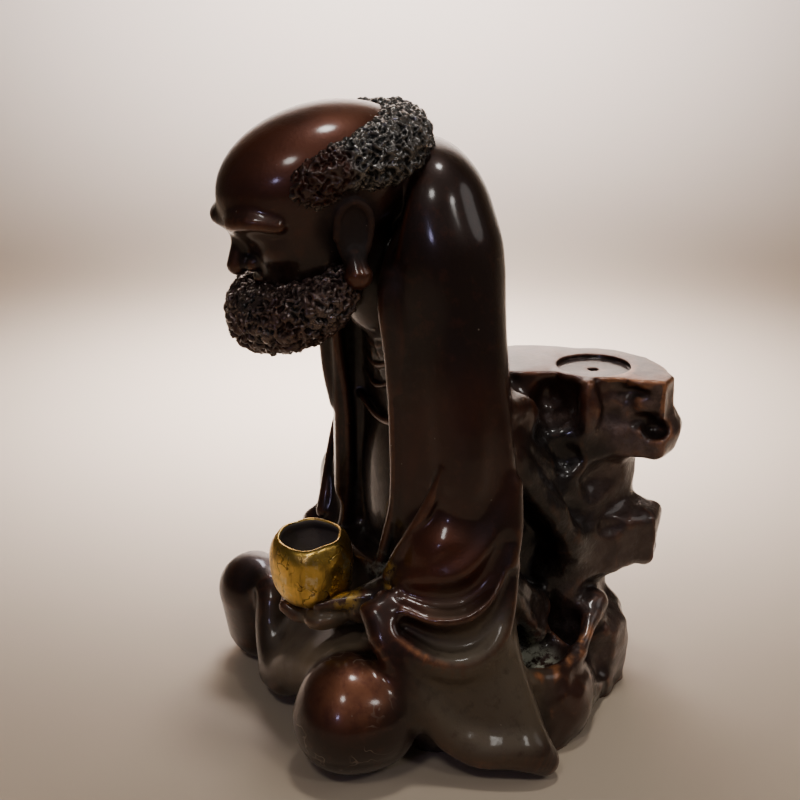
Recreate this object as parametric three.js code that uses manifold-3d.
import * as THREE from "three";
import { triTable } from "three/addons/objects/MarchingCubes.js";
import * as BufferGeometryUtils from "three/addons/utils/BufferGeometryUtils.js";
import Module from "manifold-3d";

const wasm = await Module();
wasm.setup();

// Sizes in mm. +X is the monk's left, -Y the way they face, +Z up.

const CELL = 1.2;
const TRIANGLES = 7900;
const GAP = 0.3;
const REACH = { low: [-60, -50, -3], high: [62, 76, 154] };
const CARE = (x, y, z) => (z > 95 && y < -8 ? 3 : 1);
const RECESS = { centre: [9, 49, 83], radius: 9.2, depth: 1.2, hole: 1.3, drop: 9 };
const BOWL = {
  foot: [4.4, -24.6, 32.6],
  tip: [5, 4, 0],
  side: [[5.2, 0], [7.6, 1.6], [9.2, 4.4], [10.1, 8], [10.25, 11.4], [9.7, 14.4], [8.5, 16.6],
      [7.6, 17.4], [6.9, 17.3]],
  wall: 1,
  floor: 1.4,
  segments: 24,
};

const FACE = { origin: [0, -21.4, 125], nod: THREE.MathUtils.degToRad(16) };

const bothSides = (form) => (x, y, z) => form(Math.abs(x), y, z);
const otherSide = (form) => (x, y, z) => form(-x, y, z);

function smoothMin(a, b, k) {
  const h = Math.max(k - Math.abs(a - b), 0) / k;
  return Math.min(a, b) - (h * h * k) / 4;
}
const join = (k, ...forms) => (x, y, z) => {
  let d = forms[0](x, y, z);
  for (let i = 1; i < forms.length; i++) d = smoothMin(d, forms[i](x, y, z), k);
  return d;
};
const carve = (k, form, ...tools) => (x, y, z) => {
  let d = form(x, y, z);
  for (const tool of tools) d = -smoothMin(-d, tool(x, y, z), k);
  return d;
};
const common = (k, a, b) => (x, y, z) => -smoothMin(-a(x, y, z), -b(x, y, z), k);

function ellipsoid([cx, cy, cz], [rx, ry, rz], turn = [0, 0, 0]) {
  const [a, b, c] = turn.map(THREE.MathUtils.degToRad);
  const m = new THREE.Matrix4().makeRotationFromEuler(new THREE.Euler(a, b, c)).transpose().elements;
  return (x, y, z) => {
    const dx = x - cx, dy = y - cy, dz = z - cz;
    const u = m[0] * dx + m[4] * dy + m[8] * dz;
    const v = m[1] * dx + m[5] * dy + m[9] * dz;
    const w = m[2] * dx + m[6] * dy + m[10] * dz;
    const k0 = Math.hypot(u / rx, v / ry, w / rz);
    const k1 = Math.hypot(u / rx ** 2, v / ry ** 2, w / rz ** 2);
    return k1 < 1e-9 ? -Math.min(rx, ry, rz) : (k0 * (k0 - 1)) / k1;
  };
}
const ball = (c, r) => (x, y, z) => Math.hypot(x - c[0], y - c[1], z - c[2]) - r;

function limb([ax, ay, az], [bx, by, bz], ra, rb) {
  const dx = bx - ax, dy = by - ay, dz = bz - az, l2 = dx * dx + dy * dy + dz * dz;
  return (x, y, z) => {
    const h = Math.min(Math.max(((x - ax) * dx + (y - ay) * dy + (z - az) * dz) / l2, 0), 1);
    return Math.hypot(x - ax - h * dx, y - ay - h * dy, z - az - h * dz) - ra - h * (rb - ra);
  };
}
// a rope of tapering limbs along a smooth curve; knots are [x, y, z, radius]
function rope(knots, steps = 4) {
  const curve = new THREE.CatmullRomCurve3(knots.map(([x, y, z]) => new THREE.Vector3(x, y, z)));
  const n = (knots.length - 1) * steps;
  const at = (i) => {
    const t = i / n, k = Math.min(Math.floor(t * (knots.length - 1)), knots.length - 2);
    const f = t * (knots.length - 1) - k;
    return [curve.getPoint(t).toArray(), knots[k][3] * (1 - f) + knots[k + 1][3] * f];
  };
  const pieces = [];
  for (let i = 0; i < n; i++) {
    const [p, rp] = at(i), [q, rq] = at(i + 1);
    pieces.push(limb(p, q, rp, rq));
  }
  const box = new THREE.Box3().setFromPoints(knots.map(([x, y, z]) => new THREE.Vector3(x, y, z)));
  const s = box.getBoundingSphere(new THREE.Sphere());
  const reach = s.radius * 1.05 + Math.max(...knots.map((k) => k[3]));
  return (x, y, z) => {
    const far = Math.hypot(x - s.center.x, y - s.center.y, z - s.center.z) - reach;
    if (far > 12) return far;
    let d = 1e9;
    for (const p of pieces) d = Math.min(d, p(x, y, z));
    return d;
  };
}
// smooth curve through [height, value] pairs
function track(...pairs) {
  return (z) => {
    if (z <= pairs[0][0]) return pairs[0][1];
    for (let i = 1; i < pairs.length; i++)
      if (z <= pairs[i][0]) {
        const t = (z - pairs[i - 1][0]) / (pairs[i][0] - pairs[i - 1][0]);
        return pairs[i - 1][1] + (pairs[i][1] - pairs[i - 1][1]) * t;
      }
    return pairs.at(-1)[1];
  };
}
// pitched head frame
function nodding(form) {
  const [ox, oy, oz] = FACE.origin, c = Math.cos(FACE.nod), s = Math.sin(FACE.nod);
  return (x, y, z) => {
    const v = y - oy, w = z - oz;
    return form(x - ox, v * c + w * s, -v * s + w * c);
  };
}

// The head: skull, face, ears and curls.
function face() {
  const mass = ellipsoid([0, -3, -5], [13.4, 14, 18]);
  const cheek = bothSides(ellipsoid([7.4, -11.2, -1.5], [4.6, 4.6, 4.2]));
  const chin = ellipsoid([0, -12, -15], [6, 5, 4.5]);
  const brow = bothSides(rope([[1.7, -18.2, 4.6, 1.1], [5, -19.6, 6.2, 1.7], [9.4, -17.4, 6.4, 1.6],
      [13, -12.6, 4.2, 1]]));
  const nose = rope([[0, -15.8, 5.2, 1.7], [0, -18.2, 0, 1.8], [0, -20.2, -4.2, 2.3]]);
  const wing = bothSides(ball([2.5, -17.2, -4.6], 1.7));
  const socket = bothSides(ellipsoid([5.9, -18, 2.2], [4.2, 3.0, 3.0]));
  const lids = bothSides(ellipsoid([5.9, -12.1, 1.9], [3.7, 4.0, 2.7]));
  const slit = bothSides(rope([[2.9, -15.8, 1.3, 0.35], [5.9, -16.7, 0.7, 0.45],
      [9.1, -15.0, 1.3, 0.35]]));
  const lips = join(0.8,
    rope([[-4.2, -14.2, -9.6, 0.6], [0, -16.5, -8.8, 1.1], [4.2, -14.2, -9.6, 0.6]]),
    rope([[-3.6, -14.1, -10.8, 0.6], [0, -16.0, -11.2, 1.2], [3.6, -14.1, -10.8, 0.6]]));
  const mouthLine = rope([[-4.2, -15.2, -9.9, 0.3], [0, -17.5, -9.9, 0.4], [4.2, -15.2, -9.9, 0.3]]);
  let d = join(3, mass, cheek, chin);
  d = carve(2.2, d, socket);
  d = join(1.2, d, lids);
  d = join(1.6, d, brow, nose, wing);
  d = join(1.0, d, lips);
  d = carve(0.5, d, slit, mouthLine);
  return nodding(d);
}
function ear() {
  const shell = ellipsoid([16.0, -19, 123.5], [1.5, 3.8, 7.6], [6, 0, 0]);
  const rim = rope([[16.2, -22.6, 123, 0.7], [16.8, -22, 128.6, 0.9], [17, -19, 130.6, 1],
      [17.2, -15.4, 128, 1], [17, -15.4, 122, 0.9], [17, -17.5, 118, 1.3]]);
  const hollow = ellipsoid([18.3, -19.2, 124.6], [1.5, 2.3, 4.6]);
  const lobe = limb([16.8, -18.8, 119], [18.2, -18.4, 114.8], 1.8, 3.2);
  return bothSides(join(1.2, carve(1, join(1, shell, rim), hollow), lobe));
}
function lumps(size, height) {
  const k = (2 * Math.PI) / size;
  return (x, y, z) => {
    const a = x * 0.86 + y * 0.5, b = y * 0.86 - x * 0.5;
    return height * (Math.sin(a * k + 1.3 * Math.sin(z * k * 0.61)) * Math.sin(b * k +
        1.1 * Math.sin(a * k * 0.7)) + Math.sin(z * k +
        1.2 * Math.sin(b * k * 0.53)) * Math.cos(a * k * 0.9)) * 0.5;
  };
}
const raised = (form, relief) => (x, y, z) => {
  const d = form(x, y, z);
  return Math.abs(d) > 4 ? d : d - relief(x, y, z);
};
function hair() {
  const roll = rope([[15.6, -28.4, 134.2, 3.2], [16.2, -23.6, 137, 4.2], [14.2, -12, 139.4, 6.6],
      [8.6, -4.6, 141, 7.3], [0, -1.2, 141.6, 7.5]]);
  const temple = ellipsoid([15.8, -26, 134.6], [2.8, 4.6, 4.4]);
  return raised(bothSides(join(3, roll, temple)), lumps(4.6, 0.7));
}
function beard() {
  const roll = rope([[14.6, -20.5, 112, 3.8], [13.6, -25, 107.8, 6.2], [8, -31.6, 104.2, 7.4],
      [0, -34.3, 102.9, 7.6]]);
  return raised(bothSides(roll), lumps(4.2, 0.6));
}
function head() {
  const skull = ellipsoid([0, -18.9, 133.3], [17.3, 24.8, 16.5], [11, 0, 0]);
  const neck = limb([0, -13, 122], [0, -2, 106], 10, 12);
  return join(1, join(3, skull, face(), neck), ear(), hair(), beard());
}

// The robe, and the chest and belly in its opening.
function torso() {
  const cy = track([0, 7], [30, 6.5], [60, 5], [90, 4], [112, 3.2], [140, 1]);
  const rx = track([0, 34], [30, 31], [60, 28], [90, 25.5], [112, 23], [140, 18]);
  const front = track([0, 24], [30, 21], [60, 18.4], [90, 17.6], [112, 15.6], [140, 10]);
  const rear = track([0, 27], [30, 26], [60, 23], [90, 20], [112, 18], [140, 12]);
  const shaft = (x, y, z) => {
    const v = y - cy(z), u = Math.abs(x) / rx(z), w = Math.abs(v) / (v < 0 ? front(z) : rear(z));
    return ((u ** 2.3 + w ** 2.3) ** (1 / 2.3) - 1) * rear(z);
  };
  const top = ellipsoid([0, 5, 76], [36, 27, 64]);
  const shoulder = join(6, bothSides(ellipsoid([10.8, 3.8, 117.5],
      [14, 12.4, 21])), ellipsoid([0, 6, 116], [16, 11.6, 22]));
  const body = join(8, common(6, shaft, top), shoulder);
  const arms = bothSides(rope([[16.6, 5.2, 116, 10], [22.6, 5.6, 90, 9.8], [26.6, 4.8, 68, 8.8],
      [24, 1.4, 54, 5.8], [20.6, -6, 44.6, 5.8]]));
  const slot = box([3, -19, 90], [13.4, 14, 48], 3);
  const collar = ellipsoid([0, -15, 120], [15, 15, 17]);
  const chest = raised(ellipsoid([1, 3, 98], [17, 10, 28]), lumps(7, 0.5));
  const belly = ellipsoid([2, 1, 57], [16, 9.2, 25]);
  const hem = rope([[-10, -6.2, 78, 0.8], [2, -6.8, 75.5, 0.8], [15, -6, 77, 0.8]]);
  const ribs = [0, 1, 2, 3].map((i) => rope([[-9, -4.8, 99 - 5 * i, 0.4], [1, -6.6, 98 - 5 * i, 0.6],
      [11, -5.2, 102 - 5 * i, 0.4]]));
  return join(1.0, join(1.2, carve(2, join(5, body, arms), slot, collar), chest, belly), hem, ...ribs);
}
function box([cx, cy, cz], [hx, hy, hz], r) {
  return (x, y, z) => {
    const u = Math.abs(x - cx) - hx + r, v = Math.abs(y - cy) - hy + r, w = Math.abs(z - cz) - hz + r;
    return Math.hypot(Math.max(u, 0), Math.max(v, 0), Math.max(w, 0)) + Math.min(Math.max(u, v, w),
        0) - r;
  };
}
function lapels() {
  const left = rope([[12, -4, 124, 1.6], [15.6, -11.2, 110, 1.3], [17, -10.2, 94, 1.2],
      [17.6, -9.6, 78, 1.2], [17.4, -9.2, 61, 1.2], [15.4, -10.4, 51, 1.3], [12, -11, 40, 1.6]]);
  const right = rope([[-10, -4, 124, 1.6], [-11.5, -11, 108, 1.5], [-10.6, -11.8, 93, 1.4],
      [-10.4, -9.8, 76, 1.4], [-10.6, -9.4, 63, 1.4], [-11.2, -9.8, 48, 1.4], [-11.4, -11, 38, 1.6]]);
  const band = rope([[12.2, -1.6, 123, 3.2], [16, -7.2, 113, 3.4], [18, -8, 100, 2.8],
      [18.6, -7.8, 88, 2.2]]);
  const fold = rope([[-11, -4.6, 123, 2.4], [-14.6, -11.6, 110, 2.2], [-15, -12.6, 97, 2.1],
      [-14.6, -12.2, 84, 2], [-13.4, -11, 75, 1.8]]);
  return join(1, join(3, left, band), join(3, right, fold));
}
const HEM = [[26.5, -20.5, 38.5, 1.8], [32.5, -19, 32, 2.4], [36.5, -15.5, 24, 2.8],
    [39.8, -10.8, 16, 3], [43, -6, 10, 3.2], [46.6, -1, 7.4, 3.3], [49.6, 4.6, 7.6, 3.3],
    [51.4, 9.8, 6.4, 3.3], [51.6, 12.8, 4.2, 2.9]];
const SWAGS = [
  [[23, -10.4, 43.6, 2.6], [28, -6.4, 44, 3.4], [32.6, -1, 47.2, 3.8], [34, 4, 53.6, 3.8],
      [33.6, 8.2, 61, 3.6], [32, 10.4, 69, 3], [30, 10.6, 79, 2.2], [27, 10, 90, 1.4]],
  [[26, -16.2, 40.2, 2], [30, -12.4, 38.8, 3], [35.4, -6.4, 37.4, 3.6], [38.4, 0.8, 40.2, 3.5],
      [38.2, 7, 47, 3.2], [36, 11, 56, 2.8], [33.6, 12.6, 66, 2.2]],
  [[28, -18.8, 38.2, 2], [32.6, -15.6, 33.4, 2.6], [37.4, -10.9, 29.6, 3.2], [40.8, -4, 27.8, 3.5],
      [41.4, 2.6, 30.6, 3.2], [39.6, 7.4, 38, 2.8], [36.6, 10.4, 47.5, 2.3]],
];
// the grooves before each of the folds
const GROOVES = [
  [[33.6, 6.4, 97, 0.4], [36.8, 6.9, 82, 1.7], [37.6, 7, 67, 2.1], [38, 3.2, 58.4, 2.0],
      [37.6, -2.4, 53.6, 1.5], [36.2, -7.6, 51, 0.9]],
  [[39.6, 8.4, 54.6, 0.8], [39.8, 4.4, 47.6, 2.2], [38, -2.4, 43, 2.8], [35, -8.4, 42.4, 2.5],
      [30.4, -12.8, 42.8, 1.3]],
  [[40.4, 9, 47, 0.8], [42.8, 4, 38.6, 2], [42.2, -2, 34.6, 2.3], [38.8, -8.2, 34, 2.1],
      [33.6, -13.8, 36.2, 1.1]],
];
function sleeve(spread, forward) {
  const out = ([x, y, z, r]) => [26 + (x - 26) * spread, y < 0 ? y * forward : y, z, r];
  const hem = HEM.map(out);
  const sheet = hem.slice(1).map(([x, y, z, r]) => limb([26.2, -0.2, 50], [x - 2.4, y * 0.96, z + 0.6],
      6.8, r * 0.8));
  const fill = ellipsoid([24, 0, 20], [17, 19, 24]);
  const back = rope([[29, 8, 54, 5], [33, 8.4, 40, 4.6], [38, 7.6, 24, 4], [44.5, 8.6, 15, 3.6],
      [48, 10, 9, 3.4]].map(out));
  return join(3, join(4.5, fill, back, ...sheet, rope(hem)), ...SWAGS.map((s) => rope(s.map(out))));
}
function cuffMouth() {
  return rope([[27.6, -9.6, 68, 1], [24.4, -12.6, 60, 3], [19.5, -14.6, 52, 5.4],
      [14.5, -15.6, 46.5, 6]]);
}
function cuffEdge() {
  return rope([[29, -2.6, 71, 1], [27.6, -5.4, 63, 1.4], [25, -8, 55, 1.8], [22.2, -10.4, 48.1, 2],
      [20.9, -12, 43, 2.1]]);
}

// The crossed legs and the hands.
function lap() {
  const top = ellipsoid([0, -10, 11], [32.5, 20.5, 14.5]);
  const kneeL = join(5, ellipsoid([29, -26.5, 13.4], [13, 13, 12.8]), ellipsoid([27, -25, 20],
      [9, 9.4, 7.6]), ellipsoid([33.6, -20, 14], [8, 8, 10]));
  const kneeR = join(4, limb([-29.5, -28.6, 20.5], [-31, -25, 10], 9.6, 11), ellipsoid([-28, -18, 14],
      [12, 13, 13]));
  const ridge = rope([[-26, -27, 24, 5], [-18, -27.8, 23.4, 4.6], [-14.4, -29.2, 16.6, 4.6],
      [-9, -30.4, 10.6, 4.6], [-3, -30.2, 8, 4.6]]);
  const cloth = rope([[-14, -22, 13, 6], [0, -21.6, 13.6, 7.6], [12, -20.8, 17.4, 7.6],
      [23, -17, 18.6, 7.6]]);
  const shin = rope([[26, -26, 15, 8.5], [17, -26.2, 18.4, 5.8], [6, -28.6, 14.6, 4.8],
      [-3, -30.6, 9.6, 4.5], [-8, -30.6, 7, 4.6]]);
  return join(2.4, join(4, top, cloth, shin), ridge, kneeL, kneeR);
}
function hands() {
  const palm = ellipsoid([9.5, -22.5, 30.6], [5.6, 8.4, 3.4], [4, -8, 32]);
  const wrist = limb([18.5, -9.5, 37.5], [15, -17, 33.5], 5, 4.2);
  const fingers = [0, 1, 2, 3].map((i) => rope([[8 - i * 2.6, -26 + i * 1.2, 29.8, 2.2],
      [5 - i * 2.4, -29.6 + i * 1.2, 29.4, 2.1], [2.8 - i * 2.3, -31.6 + i * 1.2, 30.8, 1.8]], 3));
  const thumb = rope([[17, -17, 36.8, 1.9], [14.6, -21.8, 35.6, 2.1], [12.6, -26.6, 34.8, 1.9]], 3);
  return join(1.2, palm, wrist, thumb, ...fingers);
}

function otherHand() {
  const palm = ellipsoid([-12, -16, 35], [7, 5, 3.2], [0, 12, -32]);
  const wrist = limb([-19, -9, 38], [-15, -13, 36.4], 4.8, 4);
  const fingers = [0, 1, 2, 3].map((i) => rope([[-9 + i * 0.9, -15.6 - i * 2, 35.4, 1.9],
      [-6.4 + i * 0.5, -17.4 - i * 2.5, 36.6, 1.8],
      [-5.2 - i * 0.2, -18.4 - i * 2.7, 40 - i * 0.5, 1.5]], 3));
  return join(1.2, palm, wrist, ...fingers);
}

// The rock: a column, three jutting tiers, a basin at the foot, and scoops out of all of them.
function prism(outline, low, high, r) {
  const n = outline.length;
  return (x, y, z) => {
    let best = 1e9, inside = false;
    for (let i = 0, j = n - 1; i < n; j = i++) {
      const [ax, ay] = outline[j], [bx, by] = outline[i];
      const ex = bx - ax, ey = by - ay, wx = x - ax, wy = y - ay;
      const h = Math.min(Math.max((wx * ex + wy * ey) / (ex * ex + ey * ey), 0), 1);
      best = Math.min(best, (wx - ex * h) ** 2 + (wy - ey * h) ** 2);
      if (ay > y !== by > y && x < ((bx - ax) * (y - ay)) / (by - ay) + ax) inside = !inside;
    }
    const u = (inside ? -1 : 1) * Math.sqrt(best) + r;
    const w = Math.abs(z - (low + high) / 2) - (high - low) / 2 + r;
    return Math.hypot(Math.max(u, 0), Math.max(w, 0)) + Math.min(Math.max(u, w), 0) - r;
  };
}
const TIERS = [
  [[[-15, 22], [-15, 40], [-9, 50], [0, 61.5], [9, 65.5], [25, 62], [28.5, 57], [22, 50], [18, 42],
      [10, 38], [4, 22]], 63, 87, 2.2],
  [[[-12, 28], [-14, 44], [-4, 58], [10, 64], [18, 65.5], [24, 60], [22, 50], [18, 42], [8, 34]],
      31, 47, 4],
  [[[-12, 24], [-14, 44], [-2, 54], [13, 57.4], [22.4, 54.4], [28, 45], [24, 38], [10, 24]], -6, 21, 5],
];
function rock() {
  const column = join(4, limb([2, 40, 64], [4, 40, 10], 14.5, 16), limb([5, 50, 66], [5, 49, 46],
      14, 13), limb([3, 26, 68], [3, 28, 8], 11, 13), limb([9, 40, 62], [12, 41, 28], 10.4, 11));
  const mass = join(5, column, ...TIERS.map((t) => prism(...t)), ellipsoid([17, 61.5, 68], [9, 7.4, 6]));
  const basin = ellipsoid([29, 21, 8], [16, 16, 15]);
  const foot = rope([[36, 8, 5, 7], [36.6, 16, 4, 7], [34, 26, 4, 7], [28, 34.5, 5, 7],
      [20, 43, 5, 7.6]]);
  const hollowed = carve(1.8, join(3, mass, basin, foot), ...SCOOPS);
  const strut = join(4, rope([[23, 15, 72, 4], [22.6, 22, 63, 3.4], [22.4, 29, 54, 3.2],
      [21.4, 35, 45, 3.6], [16, 40, 36, 5]]), rope([[18, 20, 72, 5], [15, 29, 60, 5.4],
      [13, 38, 46, 6]]));
  const lip = join(3, rope([[23, 16, 81, 3.6], [20, 21, 79.6, 3], [17, 25.4, 75.6, 3],
      [12, 28, 71, 4]]), rope([[18.4, 41.4, 81.6, 2], [19, 41.6, 76.5, 2], [18, 41.6, 71, 2.4],
      [14, 40, 66, 3]]));
  const post = join(4, rope([[31.8, 10.4, 43, 1.6], [30.6, 15.2, 35.5, 1.7], [28.6, 20, 28.6, 1.8],
      [25, 25, 22, 2.6]]), rope([[27, 13, 42, 3], [24, 20, 34, 3.6], [20, 27, 26, 4.6]]));
  const rim = rope([[38.6, 6.5, 24, 1.6], [39.8, 11, 20.6, 1.7], [40, 16.5, 18.8, 1.8],
      [38.8, 22.6, 18.2, 1.8], [36.2, 28.8, 17.8, 1.8], [32.8, 33.6, 19, 1.9], [28.4, 38.4, 22.2, 2.1],
      [23, 44, 24.6, 3.2]]);
  const rolling = lumps(17, 0.8);
  const pitted = lumps(6.5, 0.2);
  const stone = raised(join(3, hollowed, strut, lip, post, rim), (x, y, z) => rolling(x, y, z) +
      pitted(x, y, z));
  return common(0.9, stone, (x, y, z) => z - 83);
}
const SCOOPS = [
  ellipsoid([16.4, 34.6, 76.6], [9.4, 5.8, 6.6]), ellipsoid([17, 24.5, 75],
      [4.6, 3.6, 4]), ellipsoid([21.4, 33, 64], [6.4, 7, 6]),
  ellipsoid([23, 45, 74], [4.2, 3.8, 3.2]), ellipsoid([26.4, 52.6, 72.4],
      [3.6, 3.6, 2.4]), ellipsoid([27.4, 56.4, 70.2], [3.4, 3, 2.2]), ellipsoid([25, 49.4, 79.6],
      [4.4, 5, 2.4]),
  ellipsoid([25, 46, 57], [8, 10, 6]), ellipsoid([24.4, 47.4, 44], [3.6, 4.4, 2.2]),
  ellipsoid([20, 25, 49], [8, 8.4, 11]), ellipsoid([26, 44, 28],
      [6, 7, 4.5]), ellipsoid([30, 21.6, 22], [9, 10.6, 8]), ellipsoid([22, 54, 26], [7, 7, 5]),
  ellipsoid([31, 44, 13], [5, 5, 7]),
  ellipsoid([-15, 36, 56], [8, 12, 8]), ellipsoid([-12, 52, 54], [9, 9, 6]), ellipsoid([-15, 42, 26],
      [7, 10, 6]), ellipsoid([4, 66, 56], [12, 8, 6]),
  ellipsoid([2, 62, 26], [12, 7, 5.5]), ellipsoid([-16, 44, 74], [5, 6, 5]), ellipsoid([-4, 60, 74],
      [6, 5, 4.5]), ellipsoid([6, 64, 40], [7, 4, 4]),
  ellipsoid([-16, 36, 12], [5, 7, 6]), ellipsoid([4, 59, 10], [7, 5, 5]), ellipsoid([30, 54, 0],
      [7, 7, 8]),
];

const field = (() => {
  const stone = rock();
  const cloth = join(3.4, torso(), sleeve(1, 1), otherSide(sleeve(0.86, 0.62)), lap());
  const furrows = bothSides(join(1, ...GROOVES.map((g) => rope(g)), rope([[24.4, -9.4, 106, 0.8],
      [25.4, -8.4, 92, 1.7], [26.2, -8.2, 79, 1.8], [28.2, -8, 66, 1]])));
  const folded = carve(3.6, cloth, furrows);
  const dressed = join(1, carve(1.2, folded, bothSides(cuffMouth())), lapels(), bothSides(cuffEdge()),
      hands(), otherHand());
  const whole = join(2, join(3, dressed, stone), head());
  return (x, y, z) => Math.max(whole(x, y, z), -1.2 - z);
})();

// The surface where the form is zero, as triangles on a grid of small cubes.
const CORNERS = [[0, 0, 0], [1, 0, 0], [1, 1, 0], [0, 1, 0], [0, 0, 1], [1, 0, 1], [1, 1, 1], [0, 1, 1]];
const EDGES = [[0, 1], [1, 2], [3, 2], [0, 3], [4, 5], [5, 6], [7, 6], [4, 7], [0, 4], [1, 5], [2, 6],
    [3, 7]];
const BLOCK = 4;

function eachCell(counts, step, visit) {
  for (let k = 0; k < counts[2]; k += step) {
    for (let j = 0; j < counts[1]; j += step) {
      for (let i = 0; i < counts[0]; i += step) visit(i, j, k);
    }
  }
}

function polygonise(form, low, high, cell) {
  const n = low.map((v, i) => Math.ceil((high[i] - v) / cell) + 1);
  const at = (i, j, k) => i + n[0] * (j + n[1] * k);
  const f = new Float32Array(n[0] * n[1] * n[2]);
  const value = (i, j, k) => form(low[0] + i * cell, low[1] + j * cell, low[2] + k * cell);
  // blocks far from the surface keep the value at their middle
  eachCell(n, BLOCK, (I, J, K) => {
    const mid = value(I + BLOCK / 2, J + BLOCK / 2, K + BLOCK / 2);
    const far = Math.abs(mid) > BLOCK * cell * 1.6;
    const size = [I, J, K].map((v, m) => Math.min(BLOCK, n[m] - v));
    eachCell(size, 1, (i, j, k) => {
      f[at(I + i, J + j, K + k)] = far ? mid : value(I + i, J + j, K + k);
    });
  });
  const verts = [];
  const tris = [];
  const made = new Map();
  const vertexOn = (cube, edge) => {
    const [p, q] = EDGES[edge].map((c) => CORNERS[c]);
    const a = at(cube[0] + p[0], cube[1] + p[1], cube[2] + p[2]);
    const b = at(cube[0] + q[0], cube[1] + q[1], cube[2] + q[2]);
    const axis = p.findIndex((v, m) => v !== q[m]);
    const key = a * 3 + axis;
    if (!made.has(key)) {
      made.set(key, verts.length / 3);
      const s = THREE.MathUtils.clamp(f[a] / (f[a] - f[b]), 0.02, 0.98);
      cube.forEach((g, m) => verts.push(low[m] + (g + p[m] + (m === axis ? s : 0)) * cell));
    }
    return made.get(key);
  };
  eachCell(n.map((v) => v - 1), 1, (i, j, k) => {
    let code = 0;
    for (let c = 0; c < 8; c++) {
      if (f[at(i + CORNERS[c][0], j + CORNERS[c][1], k + CORNERS[c][2])] < 0) code |= 1 << c;
    }
    if (code === 0 || code === 255) return;
    for (let t = code * 16; triTable[t] >= 0; t += 3) {
      const [a, b, c] = [0, 1, 2].map((m) => vertexOn([i, j, k], triTable[t + m]));
      tris.push(b, a, c);
    }
  });
  return { verts: Float64Array.from(verts), tris: Uint32Array.from(tris) };
}
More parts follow.
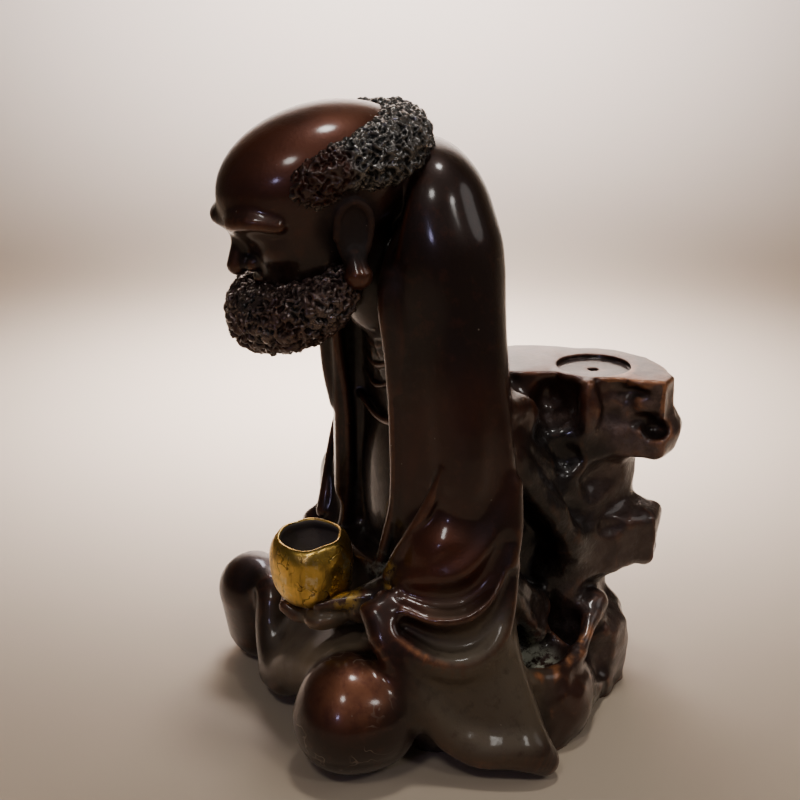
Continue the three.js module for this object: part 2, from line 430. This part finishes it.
// Fewer triangles: edges are closed in order of how little that changes the form.
function thin({ verts, tris }, wanted, care) {
  const nv = verts.length / 3, nt = tris.length / 3;
  const faces = Array.from({ length: nv }, () => new Set());
  const alive = new Uint8Array(nt).fill(1);
  const stamp = new Uint32Array(nv);
  const Q = new Float64Array(nv * 10);
  const at = (v) => [verts[3 * v], verts[3 * v + 1], verts[3 * v + 2]];
  const sub = (a, b) => [a[0] - b[0], a[1] - b[1], a[2] - b[2]];
  const cross = (a, b) => [a[1] * b[2] - a[2] * b[1], a[2] * b[0] - a[0] * b[2],
      a[0] * b[1] - a[1] * b[0]];
  const dot = (a, b) => a[0] * b[0] + a[1] * b[1] + a[2] * b[2];
  for (let t = 0; t < nt; t++) {
    const [a, b, c] = [0, 1, 2].map((i) => tris[3 * t + i]);
    const n = cross(sub(at(b), at(a)), sub(at(c), at(a)));
    const area = Math.hypot(...n);
    for (const v of [a, b, c]) faces[v].add(t);
    if (area < 1e-12) continue;
    const [x, y, z] = n.map((k) => k / area);
    const w = -(x * verts[3 * a] + y * verts[3 * a + 1] + z * verts[3 * a + 2]);
    const s = (area / 6) * care(...at(a));
    const q = [x * x, x * y, x * z, x * w, y * y, y * z, y * w, z * z, z * w, w * w];
    for (const v of [a, b, c]) for (let i = 0; i < 10; i++) Q[10 * v + i] += s * q[i];
  }
  const cost = (q, [x, y, z]) =>
    q[0] * x * x + 2 * q[1] * x * y + 2 * q[2] * x * z + 2 * q[3] * x + q[4] * y * y
    + 2 * q[5] * y * z + 2 * q[6] * y + q[7] * z * z + 2 * q[8] * z + q[9];
  function plan(u, v) {
    const q = Array.from({ length: 10 }, (_, i) => Q[10 * u + i] + Q[10 * v + i]);
    const pu = at(u), pv = at(v), e = sub(pv, pu), l2 = dot(e, e);
    const mid = pu.map((k, i) => (k + pv[i]) / 2);
    const r = 1e-3 * (q[0] + q[4] + q[7]) + 1e-9;
    const A = [q[0] + r, q[1], q[2], q[4] + r, q[5], q[7] + r];
    const B = [-q[3] + r * mid[0], -q[6] + r * mid[1], -q[8] + r * mid[2]];
    const c0 = A[3] * A[5] - A[4] * A[4], c1 = A[2] * A[4] - A[1] * A[5], c2 = A[1] * A[4] - A[2] * A[3];
    const det = A[0] * c0 + A[1] * c1 + A[2] * c2;
    const p = [
      (c0 * B[0] + c1 * B[1] + c2 * B[2]) / det,
      (c1 * B[0] + (A[0] * A[5] - A[2] * A[2]) * B[1] + (A[1] * A[2] - A[0] * A[4]) * B[2]) / det,
      (c2 * B[0] + (A[1] * A[2] - A[0] * A[4]) * B[1] + (A[0] * A[3] - A[1] * A[1]) * B[2]) / det,
    ];
    const best = dot(sub(p, mid), sub(p, mid)) < l2 ? p : mid;
    return { p: best, c: cost(q, best) + 2e-5 * l2 * l2 };
  }
  const heap = [];
  const push = (item) => {
    let i = heap.push(item) - 1;
    while (i > 0) {
      const j = (i - 1) >> 1;
      if (heap[j].c <= item.c) break;
      heap[i] = heap[j];
      i = j;
    }
    heap[i] = item;
  };
  const pop = () => {
    const top = heap[0], last = heap.pop();
    if (heap.length) {
      let i = 0;
      for (;;) {
        let j = 2 * i + 1;
        if (j >= heap.length) break;
        if (j + 1 < heap.length && heap[j + 1].c < heap[j].c) j++;
        if (heap[j].c >= last.c) break;
        heap[i] = heap[j];
        i = j;
      }
      heap[i] = last;
    }
    return top;
  };
  const corners = (t) => [tris[3 * t], tris[3 * t + 1], tris[3 * t + 2]];
  const around = (v) => {
    const s = new Set();
    for (const t of faces[v]) for (const k of corners(t)) if (k !== v) s.add(k);
    return s;
  };
  const offer = (u, v) => push({ u, v, su: stamp[u], sv: stamp[v], ...plan(u, v) });
  for (let v = 0; v < nv; v++) for (const u of around(v)) if (u > v) offer(v, u);
  const holds = (v, gone, p) => {
    for (const t of faces[v]) {
      const ids = corners(t);
      if (ids.includes(gone)) continue;
      const old = ids.map(at), now = ids.map((k, i) => (k === v ? p : old[i]));
      const n0 = cross(sub(old[1], old[0]), sub(old[2], old[0]));
      const n1 = cross(sub(now[1], now[0]), sub(now[2], now[0]));
      const long = Math.max(...[0, 1, 2].map((i) => dot(sub(now[i], now[(i + 1) % 3]), sub(now[i],
          now[(i + 1) % 3]))));
      const size = Math.hypot(...n1);
      if (dot(n0, n1) < 0.2 * Math.hypot(...n0) * size || size < 0.03 * long) return false;
    }
    return true;
  };
  let left = nt;
  while (left > wanted && heap.length) {
    const { u, v, su, sv, p } = pop();
    if (stamp[u] !== su || stamp[v] !== sv) continue;
    const nu = around(u), nvv = around(v);
    let shared = 0;
    for (const k of nu) if (nvv.has(k)) shared++;
    if (shared !== 2 || !holds(u, v, p) || !holds(v, u, p)) continue;
    for (const t of [...faces[v]]) {
      const ids = corners(t);
      if (ids.includes(u)) {
        alive[t] = 0;
        left--;
        for (const k of ids) faces[k].delete(t);
      } else {
        tris[3 * t + ids.indexOf(v)] = u;
        faces[u].add(t);
      }
    }
    faces[v].clear();
    [verts[3 * u], verts[3 * u + 1], verts[3 * u + 2]] = p;
    for (let i = 0; i < 10; i++) Q[10 * u + i] += Q[10 * v + i];
    stamp[u]++;
    stamp[v]++;
    for (const k of around(u)) offer(Math.min(u, k), Math.max(u, k));
  }
  const index = new Map(), out = [], points = [];
  for (let t = 0; t < nt; t++) {
    if (!alive[t]) continue;
    for (const k of corners(t)) {
      if (!index.has(k)) {
        index.set(k, points.length / 3);
        points.push(...at(k));
      }
      out.push(index.get(k));
    }
  }
  return { verts: Float64Array.from(points), tris: Uint32Array.from(out) };
}

// Exact cuts, and the two pieces.
const { Manifold, Mesh } = wasm;
function solid(verts, tris) {
  return new Manifold(new Mesh({ numProp: 3, vertProperties: Float32Array.from(verts),
      triVerts: Uint32Array.from(tris) }));
}
function geometryOf(part) {
  const { vertProperties, triVerts, numProp } = part.getMesh();
  const geometry = new THREE.BufferGeometry();
  const xyz = new Float32Array((vertProperties.length / numProp) * 3);
  for (let i = 0; i < xyz.length / 3; i++)
    for (let c = 0; c < 3; c++) xyz[3 * i + c] = vertProperties[numProp * i + c];
  geometry.setAttribute("position", new THREE.BufferAttribute(xyz, 3));
  geometry.setIndex(Array.from(triVerts));
  geometry.computeVertexNormals();
  return geometry;
}
// a closed turned form; the profile runs [radius, height] from the axis, round, and back to the axis
function turned(profile, segments, place) {
  const verts = [], tris = [], inner = profile.length - 2;
  verts.push(0, 0, profile[0][1]);
  for (let k = 1; k <= inner; k++)
    for (let s = 0; s < segments; s++) {
      const a = (2 * Math.PI * s) / segments;
      verts.push(profile[k][0] * Math.cos(a), profile[k][0] * Math.sin(a), profile[k][1]);
    }
  verts.push(0, 0, profile.at(-1)[1]);
  const ring = (k, s) => 1 + (k - 1) * segments + (s % segments);
  const end = verts.length / 3 - 1;
  for (let s = 0; s < segments; s++) {
    tris.push(0, ring(1, s + 1), ring(1, s));
    for (let k = 1; k < inner; k++) {
      tris.push(ring(k, s), ring(k, s + 1), ring(k + 1, s + 1));
      tris.push(ring(k, s), ring(k + 1, s + 1), ring(k + 1, s));
    }
    tris.push(ring(inner, s), ring(inner, s + 1), end);
  }
  const p = new THREE.Vector3();
  for (let i = 0; i < verts.length; i += 3) {
    p.fromArray(verts, i).applyMatrix4(place).toArray(verts, i);
  }
  return solid(verts, tris);
}
const upright = new THREE.Matrix4();
const bowlPlace = new THREE.Matrix4()
  .makeRotationFromEuler(new THREE.Euler(...BOWL.tip.map(THREE.MathUtils.degToRad)))
  .setPosition(...BOWL.foot);
const bowlSide = (grow) => BOWL.side.map(([r, h]) => [r + grow, h + (h < 2 ? -grow : 0)]);
function bowl() {
  const { side, wall, floor } = BOWL;
  const inside = side.filter(([, h]) => h > floor + 1).map(([r, h]) => [r - wall, h]).reverse();
  const profile = [[0, 0], ...side, ...inside, [side[0][0] - 0.6, floor + 0.3], [0, floor]];
  return turned(profile, BOWL.segments, bowlPlace);
}
function bowlSeat() {
  const side = bowlSide(GAP);
  const top = side.at(-1);
  return turned([[0, -GAP], ...side, [top[0], top[1] + 4], [0, top[1] + 4]], BOWL.segments, bowlPlace);
}
function casting() {
  const form = thin(polygonise(field, REACH.low, REACH.high, CELL), TRIANGLES, CARE);
  const low = new THREE.BoxGeometry(200, 200, 20).translate(0, 0, -10);
  const slab = BufferGeometryUtils.mergeVertices(low.deleteAttribute("normal").deleteAttribute("uv"));
  const floor = solid(slab.attributes.position.array, slab.index.array);
  const at = new THREE.Matrix4().setPosition(...RECESS.centre);
  const { radius, depth, hole, drop } = RECESS;
  const recess = turned([[0, -drop], [hole, -drop], [hole, -depth], [radius - 0.8, -depth],
      [radius, 3], [0, 3]], 40, at);
  let body = solid(form.verts, form.tris);
  for (const tool of [floor, recess, bowlSeat()]) body = body.subtract(tool);
  const pieces = body.decompose().sort((a, b) => b.volume() - a.volume());
  return pieces[0];
}
const materials = {
  bronze: new THREE.MeshStandardMaterial({ color: 0x3b2218, roughness: 0.34, metalness: 0.85 }),
  gilt: new THREE.MeshStandardMaterial({ color: 0xb8902e, roughness: 0.3, metalness: 0.95 }),
};
function piece(name, part, material) {
  const mesh = new THREE.Mesh(geometryOf(part), material);
  mesh.name = name;
  return mesh;
}
const burner = new THREE.Group();
burner.name = "incense_burner";
burner.add(piece("monk_and_rock", casting(), materials.bronze));
burner.add(piece("alms_bowl", bowl(), materials.gilt));
export default burner;
